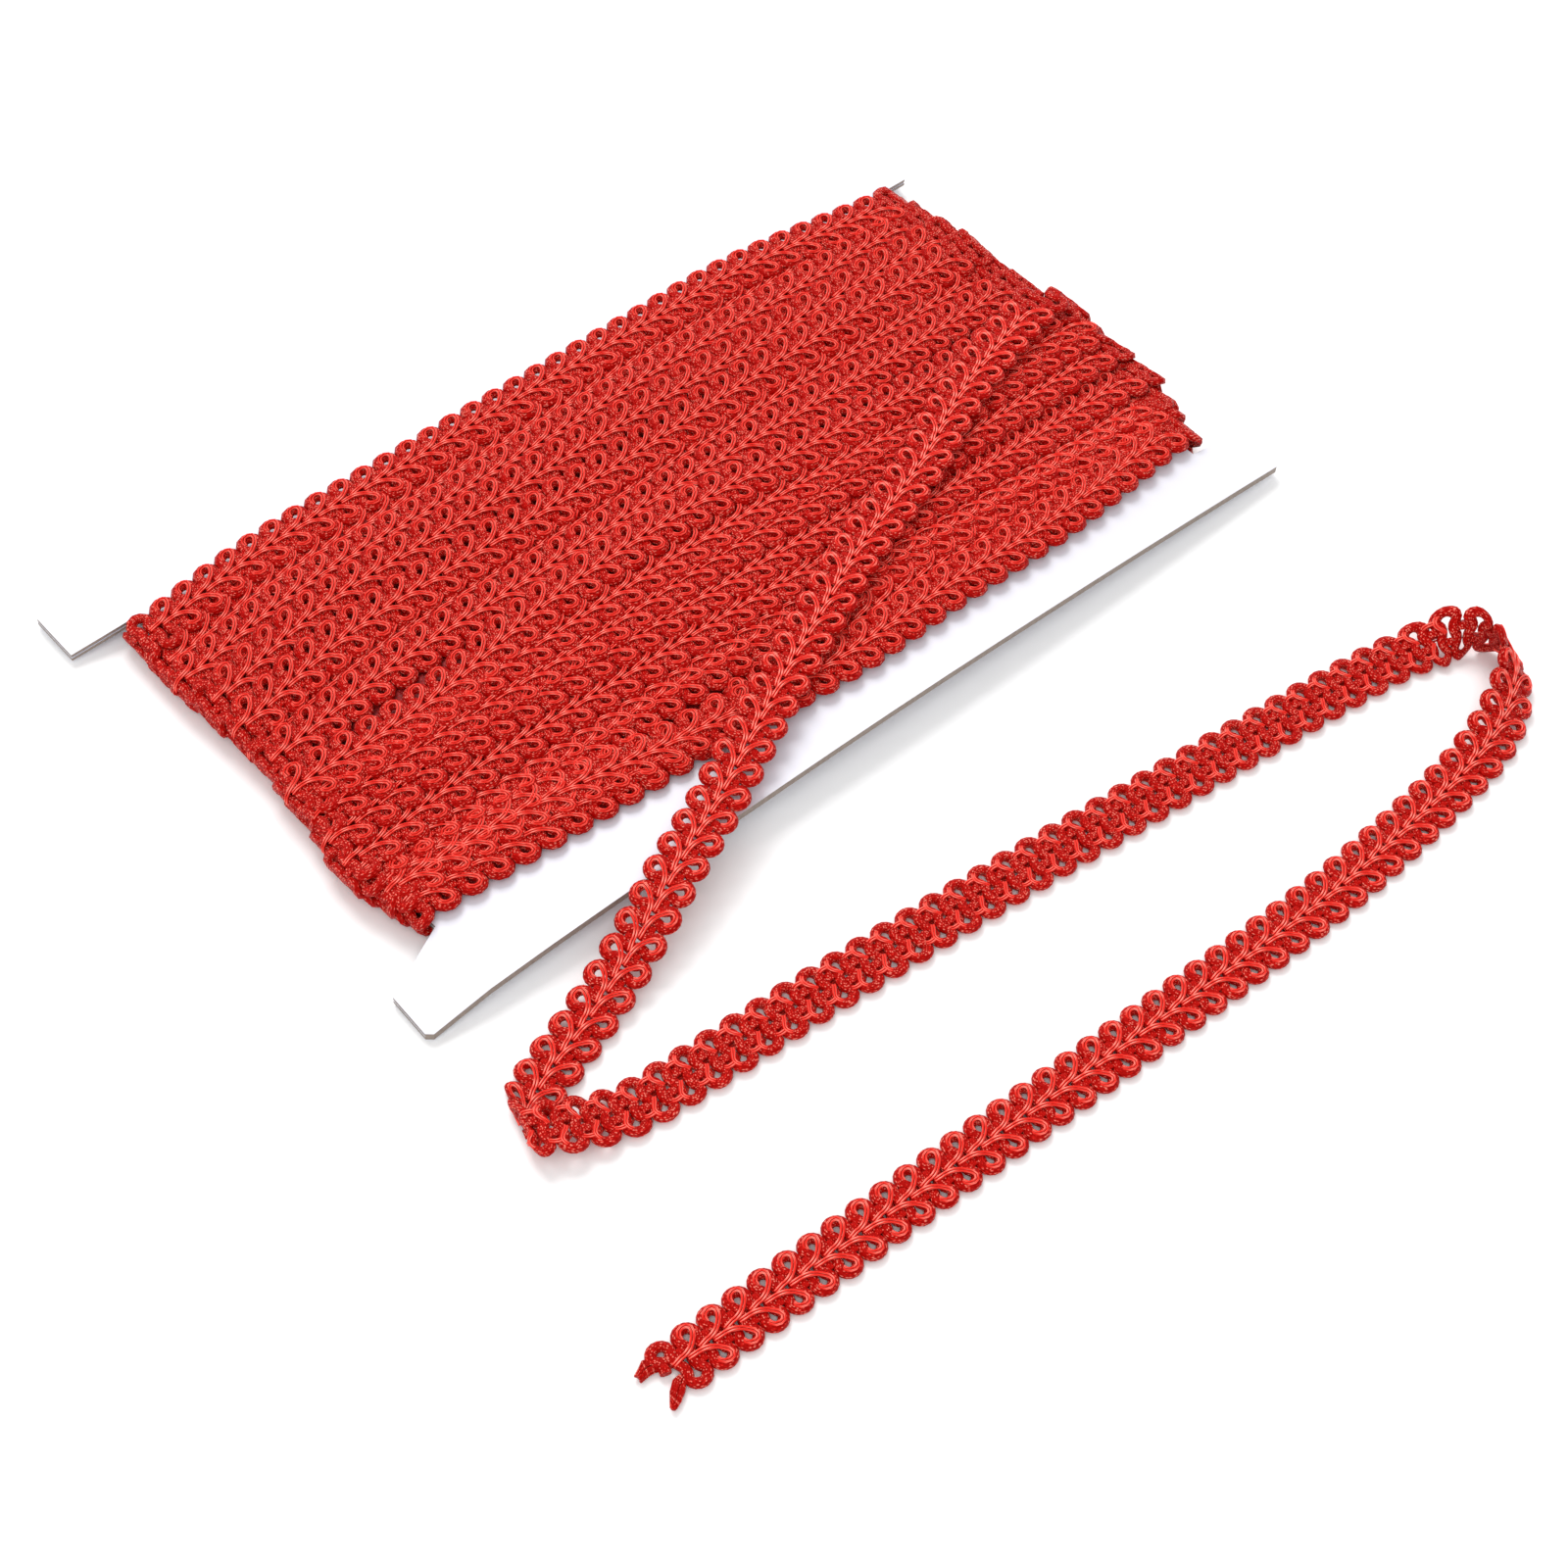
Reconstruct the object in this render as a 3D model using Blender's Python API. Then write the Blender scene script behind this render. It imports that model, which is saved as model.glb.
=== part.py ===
"""Gimp braid trim, wound on a folded card with its loose end laid out in front.

X runs along the card, Y across it and Z up. The origin is on the ground under
the middle of the card. The loose end lies on the side of -Y.
"""
import math

import bmesh
import bpy
from mathutils import Vector

MM = 0.001

# Braid: its width over the scallops, its thickness and the length of one scallop
BRAID_WIDTH = 12.6
BRAID_THICKNESS = 1.9
SCALLOP_PITCH = 5.85
SCALLOP_DEPTH = 2.0
SCALLOP_SHOULDER = 0.4

# Card: one sheet of board folded along its front edge into two leaves
CARD_LENGTH = 240.0
CARD_DEPTH = 135.5
LEAF_THICKNESS = 0.7
LEAF_GAP = 0.4
FOLD_WIDTH = 1.2
EAR_RADIUS = 3.0
BOARD_THICKNESS = 2 * LEAF_THICKNESS + LEAF_GAP
WAIST_LEFT = -104.5
WAIST_RIGHT = 106.0
BEND_STEP = 15.0

# Clearance between touching pieces, and the hidden turns under the top rows
GAP = 0.3
LOWER_TURNS = 0.8

# Bow of the card: height of its middle plane along the front and back edges
CARD_BOW = (
    # x, front, back
    (-120.0, 1.3, 1.9),
    (-104.0, 4.2, 4.4),
    (-60.0, 6.2, 4.5),
    (0.0, 7.4, 4.4),
    (60.0, 6.0, 4.2),
    (104.0, 3.9, 4.0),
    (120.0, 2.9, 3.3),
)

# Top rows of the winding, back to front: the place of each row's centre line at
# seven stations along the card, the height of its centre over the hidden turns,
# and its slope towards the back where it lies on its neighbour like a shingle
ROW_STATIONS = (-104.0, -74.0, -38.0, -2.0, 32.0, 64.0, 104.0)
ROWS = (
    # name, y at the seven stations, height, slope
    ("back", (45.2, 49.4, 50.6, 51.7, 52.6, 53.1, 48.8), 0.9, 0.00),
    ("second", (30.7, 35.5, 36.4, 37.6, 39.4, 40.0, 41.0), 0.8, 0.00),
    ("third", (21.6, 28.2, 29.2, 30.1, 31.1, 31.7, 32.6), 1.3, 0.16),
    ("fourth", (12.6, 18.6, 19.8, 20.9, 22.9, 24.5, 25.5), 1.5, 0.16),
    ("fifth", (1.9, 5.9, 7.1, 8.1, 8.6, 8.9, 10.0), 0.9, 0.00),
    ("crossing", (-7.5, -7.3, -1.3, 0.5, -1.0, -2.9, -2.5), 2.1, 0.00),
    ("seventh", (-10.5, -9.0, -8.7, -8.1, -8.7, -9.5, -8.5), 1.3, -0.18),
    ("eighth", (-15.5, -14.8, -14.9, -13.8, -14.0, -13.2, -12.2), 1.3, -0.18),
    ("ninth", (-21.6, -19.2, -19.9, -20.9, -21.6, -20.6, -19.0), 1.3, -0.18),
    ("tenth", (-28.4, -26.4, -27.1, -27.9, -29.6, -30.1, -29.0), 1.3, -0.18),
    ("eleventh", (-31.5, -32.0, -32.5, -33.2, -35.0, -36.0, -36.0), 0.9, -0.18),
    ("twelfth", (-36.5, -36.5, -35.9, -37.2, -38.6, -39.4, -39.3), 1.0, -0.10),
    ("slanting", (-38.8, -40.8, -47.1, -51.5, -50.8, -50.5, -46.6), 1.3, 0.00),
    ("front", (-43.0, -45.4, -47.6, -46.0, -45.0, -45.0, -44.0), 0.7, 0.00),
)

# Outline of the winding: its front and back edges, and its left and right ends
WINDING_EDGES = (
    # x, front, back
    (-104.0, -49.0, 51.4),
    (-88.0, -50.8, 54.0),
    (-74.0, -51.6, 55.4),
    (-38.0, -55.4, 57.0),
    (-2.0, -57.6, 58.0),
    (32.0, -57.4, 58.8),
    (64.0, -57.0, 58.8),
    (88.0, -56.2, 57.0),
    (98.0, -55.0, 55.6),
    (104.0, -53.0, 54.4),
)
WINDING_ENDS = (
    # y, left, right
    (-53.0, -106.2, 109.4),
    (-42.0, -108.2, 111.3),
    (-35.0, -110.4, 114.8),
    (-27.0, -112.4, 118.0),
    (-18.0, -109.2, 117.6),
    (-13.0, -109.7, 116.4),
    (-4.0, -108.9, 119.3),
    (3.5, -107.9, 117.4),
    (14.0, -108.5, 115.4),
    (19.0, -109.0, 116.7),
    (34.0, -110.1, 115.0),
    (44.0, -110.2, 114.0),
    (56.0, -106.5, 110.2),
)
TOP_STATIONS = 27
BOTTOM_STATIONS = 9
END_STATIONS = 4
WINDING_SECTIONS = 60

# Loose end: the route of its centre line from the right end of the winding, the
# lift of what carries it, and the way its width points: an azimuth in the plan,
# and a drop below the level that turns it on edge and over
LOOSE_END_ROUTE = (
    # x, y, lift, azimuth, drop
    (112.5, 0.6, 8.9, -78.0, 0.0),
    (104.0, -1.3, 9.3, -77.0, 0.0),
    (95.0, -3.9, 9.7, -73.0, 0.0),
    (78.3, -9.3, 10.2, -70.0, 0.0),
    (65.6, -14.6, 10.5, -65.0, 0.0),
    (52.9, -21.0, 10.9, -64.0, 0.0),
    (36.1, -27.6, 11.4, -68.0, 0.0),
    (19.4, -33.8, 11.8, -67.0, 0.0),
    (4.1, -40.9, 11.9, -64.0, 0.0),
    (-13.1, -48.7, 11.6, -65.0, 0.0),
    (-30.2, -57.0, 11.2, -65.0, 0.0),
    (-46.0, -64.4, 9.4, -66.0, 0.0),
    (-61.3, -70.8, 8.3, -67.0, 0.0),
    (-72.0, -75.4, 5.9, -67.5, 0.0),
    (-83.3, -79.7, 2.5, -69.0, 0.0),
    (-96.0, -84.0, 0.3, -68.0, 0.0),
    (-106.4, -87.4, 0.0, -66.0, 0.0),
    (-112.0, -89.8, 0.0, -71.0, 0.0),
    (-116.2, -92.2, 0.2, -90.0, 0.0),
    (-118.6, -95.3, 1.7, -107.0, 0.0),
    (-117.0, -97.9, 3.4, -114.0, 0.0),
    (-112.6, -100.1, 2.7, -111.0, 0.0),
    (-107.0, -102.1, 1.2, -105.0, 0.0),
    (-99.0, -103.9, 0.0, -98.0, 0.0),
    (-80.0, -105.2, 0.0, -94.0, 0.0),
    (-58.1, -106.5, 0.0, -94.0, 0.0),
    (-10.1, -110.3, 0.0, -94.5, 0.0),
    (37.9, -114.8, 0.0, -95.5, 0.0),
    (70.0, -118.0, 0.0, -96.5, 0.0),
    (88.0, -120.0, 0.0, -97.5, 0.0),
    (99.0, -121.6, 0.0, -98.5, 0.0),
    (105.6, -123.6, 0.0, -104.0, 9.0),
    (110.8, -126.5, 0.0, -120.0, 42.0),
    (114.5, -130.3, 0.0, -144.0, 86.0),
    (116.1, -134.9, 0.0, -173.0, 113.0),
    (114.7, -139.4, 0.0, -204.0, 129.0),
    (110.6, -143.2, 0.0, -227.0, 143.0),
    (104.4, -146.7, 0.0, -240.0, 157.0),
    (96.8, -149.3, 0.0, -249.0, 170.0),
    (87.0, -151.2, 0.0, -257.0, 178.0),
    (66.0, -153.3, 0.0, -264.0, 180.0),
    (37.9, -154.6, 0.0, -268.5, 180.0),
    (-10.1, -153.5, 0.0, -271.5, 180.0),
    (-58.1, -151.7, 0.0, -272.5, 180.0),
    (-106.1, -150.2, 0.0, -272.0, 180.0),
    (-130.1, -149.5, 0.0, -271.5, 180.0),
)
ROUTE_SAMPLES = 24
STATIONS_PER_SCALLOP = 4


def clear_scene():
    """Remove every object that the file opens with."""
    for thing in list(bpy.data.objects):
        bpy.data.objects.remove(thing, do_unlink=True)


def between(table, at, column):
    """Read a column of a table of rows at a place, on straight lines."""
    if at <= table[0][0]:
        return table[0][column]
    for low, high in zip(table, table[1:]):
        if at <= high[0]:
            share = (at - low[0]) / (high[0] - low[0])
            return low[column] + share * (high[column] - low[column])
    return table[-1][column]


def smooth_value(places, values, at):
    """Read a smooth curve through values at uneven places."""
    at = min(max(at, places[0]), places[-1])
    index = 0
    while index < len(places) - 2 and at > places[index + 1]:
        index += 1

    def slope(knot):
        before = max(knot - 1, 0)
        after = min(knot + 1, len(places) - 1)
        return (values[after] - values[before]) / (places[after] - places[before])

    span = places[index + 1] - places[index]
    t = (at - places[index]) / span
    rise_in = slope(index) * span
    rise_out = slope(index + 1) * span
    return (
        values[index] * (2 * t**3 - 3 * t**2 + 1)
        + rise_in * (t**3 - 2 * t**2 + t)
        + values[index + 1] * (3 * t**2 - 2 * t**3)
        + rise_out * (t**3 - t**2)
    )


def card_height(x, y):
    """Height of the card's middle plane, in flats between the bend lines."""
    places = [row[0] for row in CARD_BOW]
    step = math.floor(x / BEND_STEP)
    share_x = x / BEND_STEP - step
    share_y = (y + CARD_DEPTH / 2) / CARD_DEPTH
    edges = []
    for column in (1, 2):
        values = [row[column] for row in CARD_BOW]
        near = smooth_value(places, values, step * BEND_STEP)
        far = smooth_value(places, values, (step + 1) * BEND_STEP)
        edges.append(near + share_x * (far - near))
    return edges[0] + share_y * (edges[1] - edges[0])


def row_place(row, x):
    """Place of a row's centre line across the card."""
    return smooth_value(ROW_STATIONS, row[1], x)


def rows_height(x, y):
    """Height of the top rows over the hidden turns."""
    height = 0.0
    half_width = BRAID_WIDTH / 2
    for row in ROWS:
        offset = y - row_place(row, x)
        if abs(offset) >= half_width:
            continue
        crown = BRAID_THICKNESS / 2 * math.sqrt(1 - (offset / half_width) ** 6)
        height = max(height, row[2] + row[3] * offset + crown)
    return height


def winding_point(x, share):
    """Place across the card of a point at a share of the winding's width."""
    front = between(WINDING_EDGES, x, 1)
    back = between(WINDING_EDGES, x, 2)
    return front + share * (back - front)


def base_height(x, y):
    """Height of the hidden turns on top of the card."""
    return card_height(x, y) + BOARD_THICKNESS / 2 + GAP + LOWER_TURNS


def add_object(name, bm, material, smooth_angle=35.0):
    """Make one object in metres from a mesh that is built in millimetres."""
    bmesh.ops.recalc_face_normals(bm, faces=bm.faces)
    bmesh.ops.triangulate(bm, faces=bm.faces)
    bmesh.ops.scale(bm, vec=Vector((MM, MM, MM)), verts=bm.verts)
    mesh = bpy.data.meshes.new(name)
    bm.to_mesh(mesh)
    bm.free()
    mesh.materials.append(material)
    mesh.shade_smooth()
    mesh.set_sharp_from_angle(angle=math.radians(smooth_angle))
    thing = bpy.data.objects.new(name, mesh)
    bpy.context.scene.collection.objects.link(thing)
    return thing


def make_material(name, colour, roughness):
    """A plain Principled material."""
    material = bpy.data.materials.new(name)
    material.use_nodes = True
    shader = material.node_tree.nodes["Principled BSDF"]
    shader.inputs["Base Color"].default_value = (*colour, 1.0)
    shader.inputs["Roughness"].default_value = roughness
    shader.inputs["Metallic"].default_value = 0.0
    return material


def rounded_corner(x, y, radius, start_angle, steps=4):
    """Points of a quarter round at a corner, turning to the left."""
    centre_x = x - radius * math.copysign(1.0, x)
    centre_y = y - radius * math.copysign(1.0, y)
    points = []
    for step in range(steps + 1):
        angle = math.radians(start_angle + 90.0 * step / steps)
        points.append((centre_x + radius * math.cos(angle), centre_y + radius * math.sin(angle)))
    return points


def card_outline():
    """The card's outline, to the left from the fold: four ears and a waist."""
    end = CARD_LENGTH / 2
    edge = CARD_DEPTH / 2
    slot = edge - FOLD_WIDTH
    chamfer = FOLD_WIDTH
    outline = [(-end + chamfer, -edge), (end - chamfer, -edge)]
    outline += [(end, -slot), (end, -57.5), (113.0, -54.2), (WAIST_RIGHT, -53.6)]
    outline += [(WAIST_RIGHT, 55.0), (end - 1.2, 55.6)]
    outline += rounded_corner(end, edge, EAR_RADIUS, 0.0)
    outline += rounded_corner(-end, edge, EAR_RADIUS / 3, 90.0, steps=2)
    outline += [(-end, 54.0), (WAIST_LEFT, 52.6), (WAIST_LEFT, -49.6)]
    outline += [(-end + 0.3, -56.1), (-end, -slot)]
    return outline


def make_card(material):
    """The folded card: two leaves joined by the fold, bowed over the winding."""
    bm = bmesh.new()
    levels = (0.0, LEAF_THICKNESS, LEAF_THICKNESS + LEAF_GAP, BOARD_THICKNESS)
    outline = card_outline()
    rings = []
    for level in levels:
        height = level - BOARD_THICKNESS / 2
        rings.append([bm.verts.new((x, y, height)) for x, y in outline])
    leaf = range(2, len(outline))
    last = len(outline) - 1
    for inner in (1, 2):
        bm.faces.new([rings[inner][i] for i in leaf])
    for outer in (0, 3):
        bm.faces.new(rings[outer])
    for low, high in ((0, 1), (2, 3)):
        for i in range(2, last):
            bm.faces.new((rings[low][i], rings[low][i + 1], rings[high][i + 1], rings[high][i]))
    bm.faces.new((rings[0][0], rings[0][1], rings[3][1], rings[3][0]))
    bm.faces.new([rings[0][1]] + [ring[2] for ring in rings] + [rings[3][1]])
    bm.faces.new([rings[0][0]] + [ring[last] for ring in rings] + [rings[3][0]])
    bm.faces.new((rings[1][2], rings[2][2], rings[2][last], rings[1][last]))
    for unused in rings[1][:2] + rings[2][:2]:
        bm.verts.remove(unused)
    bmesh.ops.recalc_face_normals(bm, faces=bm.faces)
    bmesh.ops.triangulate(bm, faces=bm.faces)
    bends = int(CARD_LENGTH / 2 // BEND_STEP)
    for bend in range(-bends, bends + 1):
        everything = bm.verts[:] + bm.edges[:] + bm.faces[:]
        bmesh.ops.bisect_plane(
            bm, geom=everything, plane_co=(bend * BEND_STEP, 0, 0), plane_no=(1, 0, 0), dist=0.01
        )
    for vert in bm.verts:
        vert.co.z += card_height(vert.co.x, vert.co.y)
    return add_object("card", bm, material)


def winding_loop(share):
    """One closed line round the winding, from the left end over the top."""
    middle = winding_point(0.0, share)
    left = between(WINDING_ENDS, middle, 1)
    right = between(WINDING_ENDS, middle, 2)
    radii = []
    for end in (-104.0, 104.0):
        y = winding_point(end, share)
        radii.append((base_height(end, y) + BRAID_THICKNESS / 2) / 2)
    start = left + radii[0]
    stop = right - radii[1]
    points = []
    for station in range(TOP_STATIONS):
        x = start + (stop - start) * station / (TOP_STATIONS - 1)
        y = winding_point(x, share)
        points.append((x, y, base_height(x, y) + rows_height(x, y)))
    points += winding_end(stop, radii[1], share, 1)
    for station in range(BOTTOM_STATIONS):
        x = stop + (start - stop) * station / (BOTTOM_STATIONS - 1)
        points.append((x, winding_point(x, share), 0.0))
    points += reversed(winding_end(start, radii[0], share, -1))
    return points


def winding_end(centre, radius, share, side):
    """Points round one end of the winding, from the top down."""
    points = []
    y = winding_point(centre + side * radius, share)
    ridge = rows_height(centre + side * radius, y) - BRAID_THICKNESS / 2
    for station in range(END_STATIONS):
        angle = math.pi * (0.5 - (station + 1) / (END_STATIONS + 1))
        reach = radius + ridge * max(0.0, math.sin(angle))
        x = centre + side * (radius + 0.6 * ridge) * math.cos(angle)
        points.append((x, y, radius + reach * math.sin(angle)))
    return points


def slot_loop(share):
    """The line round the card inside the winding, point for point with its outside."""
    above = BOARD_THICKNESS / 2 + GAP
    below = BOARD_THICKNESS / 2 + 2 * GAP
    left = WAIST_LEFT - GAP
    right = WAIST_RIGHT + GAP

    def at(x, side):
        y = winding_point(x, share)
        return (x, y, card_height(x, y) + side * (above if side > 0 else below))

    points = []
    for station in range(TOP_STATIONS):
        points.append(at(left + (right - left) * station / (TOP_STATIONS - 1), 1))
    for station in range(END_STATIONS):
        points.append(at(right, 1 - 2 * (station + 1) / (END_STATIONS + 1)))
    for station in range(BOTTOM_STATIONS):
        points.append(at(right + (left - right) * station / (BOTTOM_STATIONS - 1), -1))
    for station in range(END_STATIONS):
        points.append(at(left, -1 + 2 * (station + 1) / (END_STATIONS + 1)))
    return points


def add_rings(bm, rings):
    """Join closed lines of equal count into a tube, from the last back to the first."""
    made = [[bm.verts.new(point) for point in ring] for ring in rings]
    count = len(made[0])
    for ring, following in zip(made, made[1:] + made[:1]):
        for i in range(count):
            j = (i + 1) % count
            bm.faces.new((ring[i], ring[j], following[j], following[i]))


def make_winding(material):
    """The wound braid: a sleeve round the card with a ridge for each top row."""
    bm = bmesh.new()
    rings = []
    for section in range(WINDING_SECTIONS + 1):
        rings.append(winding_loop(section / WINDING_SECTIONS))
    rings.append(slot_loop(1.0))
    rings.append(slot_loop(0.0))
    add_rings(bm, rings)
    return add_object("winding", bm, material, smooth_angle=50.0)


def route_points():
    """Closely spaced points of the loose end: place, width direction and distance."""
    places = [0.0]
    for one, other in zip(LOOSE_END_ROUTE, LOOSE_END_ROUTE[1:]):
        places.append(places[-1] + (Vector(other[:3]) - Vector(one[:3])).length)
    columns = list(zip(*LOOSE_END_ROUTE))
    points = []
    for index in range(len(places) - 1):
        for sample in range(ROUTE_SAMPLES):
            share = sample / ROUTE_SAMPLES
            at = places[index] + share * (places[index + 1] - places[index])
            points.append(route_point(places, columns, at))
    points.append(route_point(places, columns, places[-1]))
    return points


def route_point(places, columns, at):
    """Centre and width direction of the loose end at one place of its route."""
    x, y, lift, azimuth, drop = (smooth_value(places, column, at) for column in columns)
    azimuth = math.radians(azimuth)
    drop = math.radians(min(max(drop, 0.0), 180.0))
    stand = BRAID_WIDTH / 2 * math.sin(drop) + BRAID_THICKNESS / 2 * abs(math.cos(drop))
    centre = Vector((x, y, max(lift, 0.0) + stand))
    level = math.cos(drop)
    across = Vector((level * math.cos(azimuth), level * math.sin(azimuth), -math.sin(drop)))
    return centre, across


def walk_route(step):
    """Centres, width directions and face directions at even steps of the loose end."""
    points = route_points()
    distances = [0.0]
    for one, other in zip(points, points[1:]):
        distances.append(distances[-1] + (other[0] - one[0]).length)
    count = round(distances[-1] / step)
    frames = []
    index = 0
    for station in range(count + 1):
        at = distances[-1] * station / count
        while index < len(points) - 2 and distances[index + 1] < at:
            index += 1
        share = (at - distances[index]) / (distances[index + 1] - distances[index])
        centre = points[index][0].lerp(points[index + 1][0], share)
        across = points[index][1].lerp(points[index + 1][1], share).normalized()
        along = points[index + 1][0] - points[index][0]
        frames.append((centre, across, along.cross(across).normalized()))
    return frames


def make_loose_end(material):
    """The loose end: a ribbon with scalloped edges, folded over at its two turns."""
    bm = bmesh.new()
    half_width = BRAID_WIDTH / 2
    edge_shape = (
        half_width - SCALLOP_DEPTH,
        half_width - SCALLOP_SHOULDER,
        half_width,
        half_width - SCALLOP_SHOULDER,
    )
    rings = []
    for station, frame in enumerate(walk_route(SCALLOP_PITCH / STATIONS_PER_SCALLOP)):
        centre, across, face = frame
        left = edge_shape[station % STATIONS_PER_SCALLOP]
        right = edge_shape[(station + 2) % STATIONS_PER_SCALLOP]
        rise = face * BRAID_THICKNESS / 2
        ring = (
            centre + across * left + rise,
            centre - across * right + rise,
            centre - across * right - rise,
            centre + across * left - rise,
        )
        rings.append([bm.verts.new(point) for point in ring])
    for ring, following in zip(rings, rings[1:]):
        for i in range(4):
            j = (i + 1) % 4
            bm.faces.new((ring[i], ring[j], following[j], following[i]))
    bm.faces.new(rings[0])
    bm.faces.new(rings[-1])
    return add_object("loose_end", bm, material, smooth_angle=60.0)


def main():
    clear_scene()
    red = make_material("red_viscose_braid", (0.70, 0.012, 0.012), 0.45)
    board = make_material("white_card_board", (0.86, 0.86, 0.88), 0.6)
    make_card(board)
    make_winding(red)
    make_loose_end(red)


main()
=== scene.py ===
# %% [markdown]
# # Gimp braid wound on a card
# Gimp is a narrow upholstery braid. A thick crocheted cord runs in loops from
# side to side and gives the scalloped edges, and a thin twin cord is stitched
# along the middle of its face like a vine, with a curl on every scallop.
# The imported model gives the wound form, the card and the loose end as plain
# solids. Here the cords themselves are laid along the same lines, so the holes,
# the curls and the shadows between them are real geometry and not a picture.
# The highlights and shade on the stitches and the shade on the hidden turns
# below are painted into the colours.

# %% Load the imported model
import math
import random

import bmesh
import bpy
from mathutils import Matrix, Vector


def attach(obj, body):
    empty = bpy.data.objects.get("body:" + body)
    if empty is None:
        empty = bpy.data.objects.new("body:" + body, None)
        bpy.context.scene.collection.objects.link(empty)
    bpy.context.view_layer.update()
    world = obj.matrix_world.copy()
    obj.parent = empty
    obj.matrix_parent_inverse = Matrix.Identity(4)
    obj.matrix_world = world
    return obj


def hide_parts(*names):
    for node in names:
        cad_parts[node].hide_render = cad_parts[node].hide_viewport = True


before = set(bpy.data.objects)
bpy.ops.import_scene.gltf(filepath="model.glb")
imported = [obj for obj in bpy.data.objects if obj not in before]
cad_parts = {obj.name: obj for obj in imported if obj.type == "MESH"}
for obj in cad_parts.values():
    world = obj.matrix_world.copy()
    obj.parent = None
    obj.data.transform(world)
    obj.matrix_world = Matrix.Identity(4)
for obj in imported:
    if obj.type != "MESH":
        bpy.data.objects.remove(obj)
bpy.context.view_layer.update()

# %% [markdown]
# ## Sizes
# Every length is worked in millimetres, as a trimmings maker would, and turned
# to metres where a mesh is made. One repeat of the braid is one scallop long,
# and everything that follows the braid is counted in repeats.

# %% The braid's sizes, in millimetres
MM = 0.001
BRAID_WIDTH = 12.6
CORD_RADIUS = 1.16
WOUND_RADIUS = 1.36
CORD_PRESS = 0.72
SCALLOP_PITCH = 5.85
WOUND_PITCH = 6.2
VINE_RADIUS = 0.24
VINE_GAP = 0.28
CARD_DEPTH = 135.5
BOARD_THICKNESS = 1.8
HIDDEN_TURNS = 1.1
print("a pressed cord is", round(2 * CORD_RADIUS * CORD_PRESS, 2), "mm thick")

# %% [markdown]
# ## Smooth lines through a few places
# The rows and the loose end are drawn through a few measured places. A cubic
# curve that passes through each of them bends as softly as braid does. A NURBS
# curve would also be smooth, but it cuts the corners and misses the places.


# %% A smooth value between given places
def smooth_value(places, values, at):
    """Read a smooth curve through values at uneven places."""
    at = min(max(at, places[0]), places[-1])
    index = 0
    while index < len(places) - 2 and at > places[index + 1]:
        index += 1

    def slope(knot):
        before = max(knot - 1, 0)
        after = min(knot + 1, len(places) - 1)
        return (values[after] - values[before]) / (places[after] - places[before])

    span = places[index + 1] - places[index]
    t = (at - places[index]) / span
    return (
        values[index] * (2 * t**3 - 3 * t**2 + 1)
        + slope(index) * span * (t**3 - 2 * t**2 + t)
        + values[index + 1] * (3 * t**2 - 2 * t**3)
        + slope(index + 1) * span * (t**3 - t**2)
    )


def on_lines(table, at, column):
    """Read a column of a table at a place, on straight lines."""
    places = [row[0] for row in table]
    at = min(max(at, places[0]), places[-1])
    for low, high in zip(table, table[1:]):
        if at <= high[0]:
            share = (at - low[0]) / (high[0] - low[0])
            return low[column] + share * (high[column] - low[column])
    return table[-1][column]


# %% [markdown]
# ## The bow of the card
# The card is held up by the turns under it and bows a little, higher in the
# middle of its front edge than at its ears. The rows lie on it, so their
# height starts from the card's own.

# %% Height of the card
CARD_BOW = (
    # x, front, back
    (-120.0, 1.3, 1.9),
    (-104.0, 4.2, 4.4),
    (-60.0, 6.2, 4.5),
    (0.0, 7.4, 4.4),
    (60.0, 6.0, 4.2),
    (104.0, 3.9, 4.0),
    (120.0, 2.9, 3.3),
)


def card_height(x, y):
    """Height of the card's middle plane."""
    places = [row[0] for row in CARD_BOW]
    front = smooth_value(places, [row[1] for row in CARD_BOW], x)
    back = smooth_value(places, [row[2] for row in CARD_BOW], x)
    return front + (y / CARD_DEPTH + 0.5) * (back - front)


def base_height(x, y):
    """Height of the hidden turns on top of the card."""
    return card_height(x, y) + BOARD_THICKNESS / 2 + HIDDEN_TURNS


print("hidden turns reach", round(base_height(0, 0), 2), "mm in the middle")

# %% [markdown]
# ## The rows on top
# Each row is one turn of the braid. Some lie free beside their neighbour, and
# some lap over it like shingles, so a row has a height above the hidden turns
# and a slope across its width. The places are read at seven stations. Two rows
# lie deeper and show only in the gaps between the others.

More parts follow.
